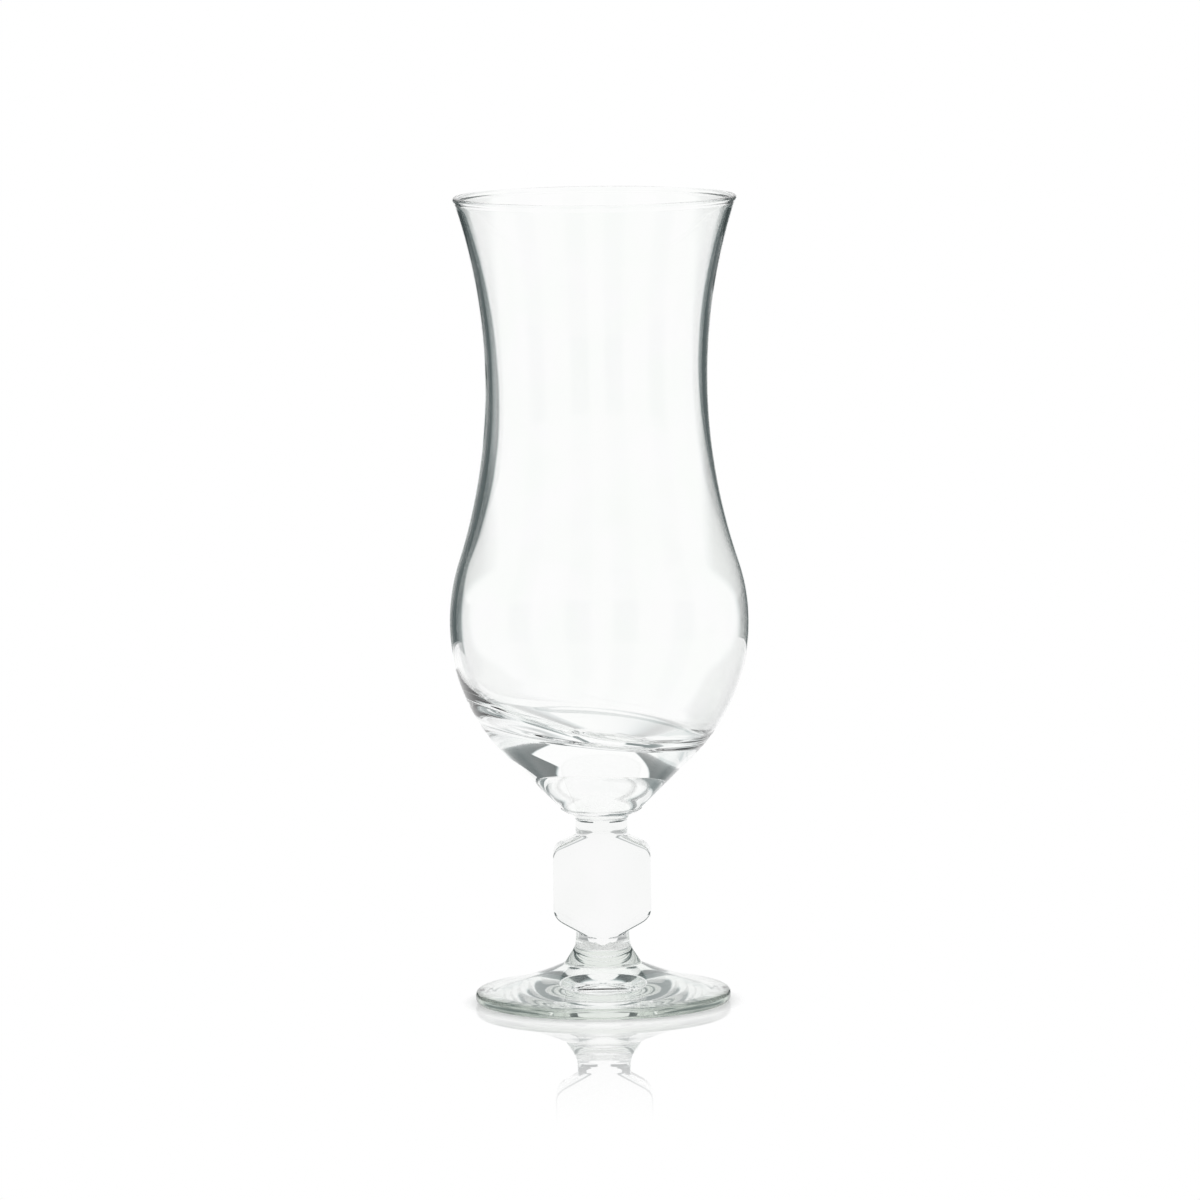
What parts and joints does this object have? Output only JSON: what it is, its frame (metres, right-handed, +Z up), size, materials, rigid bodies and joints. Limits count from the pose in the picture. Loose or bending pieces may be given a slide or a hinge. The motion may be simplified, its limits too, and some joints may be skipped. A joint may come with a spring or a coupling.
{
  "type": "hurricane glass",
  "caption": "Tall clear glass for mixed drinks: a bowl with a round belly, drawn-in waist and flared mouth, on a short stem with a flat six-sided plaque and a round foot.",
  "frame": {"origin": "centre of the ring that the foot stands on", "axes": "+Z up along the axis of the glass, -Y and +Y square to the two faces of the stem's plaque, +X across them"},
  "size_m": [0.08, 0.08, 0.216],
  "materials": {
    "bowl_glass": "blown clear soda-lime glass, fire-polished",
    "stem_glass": "pressed clear soda-lime glass, fire-polished",
    "foot_glass": "pressed clear soda-lime glass, fire-polished"
  },
  "bodies": {
    "root": {"bowl": "bowl_glass", "stem": "stem_glass", "foot": "foot_glass"}
  },
  "joints": []
}
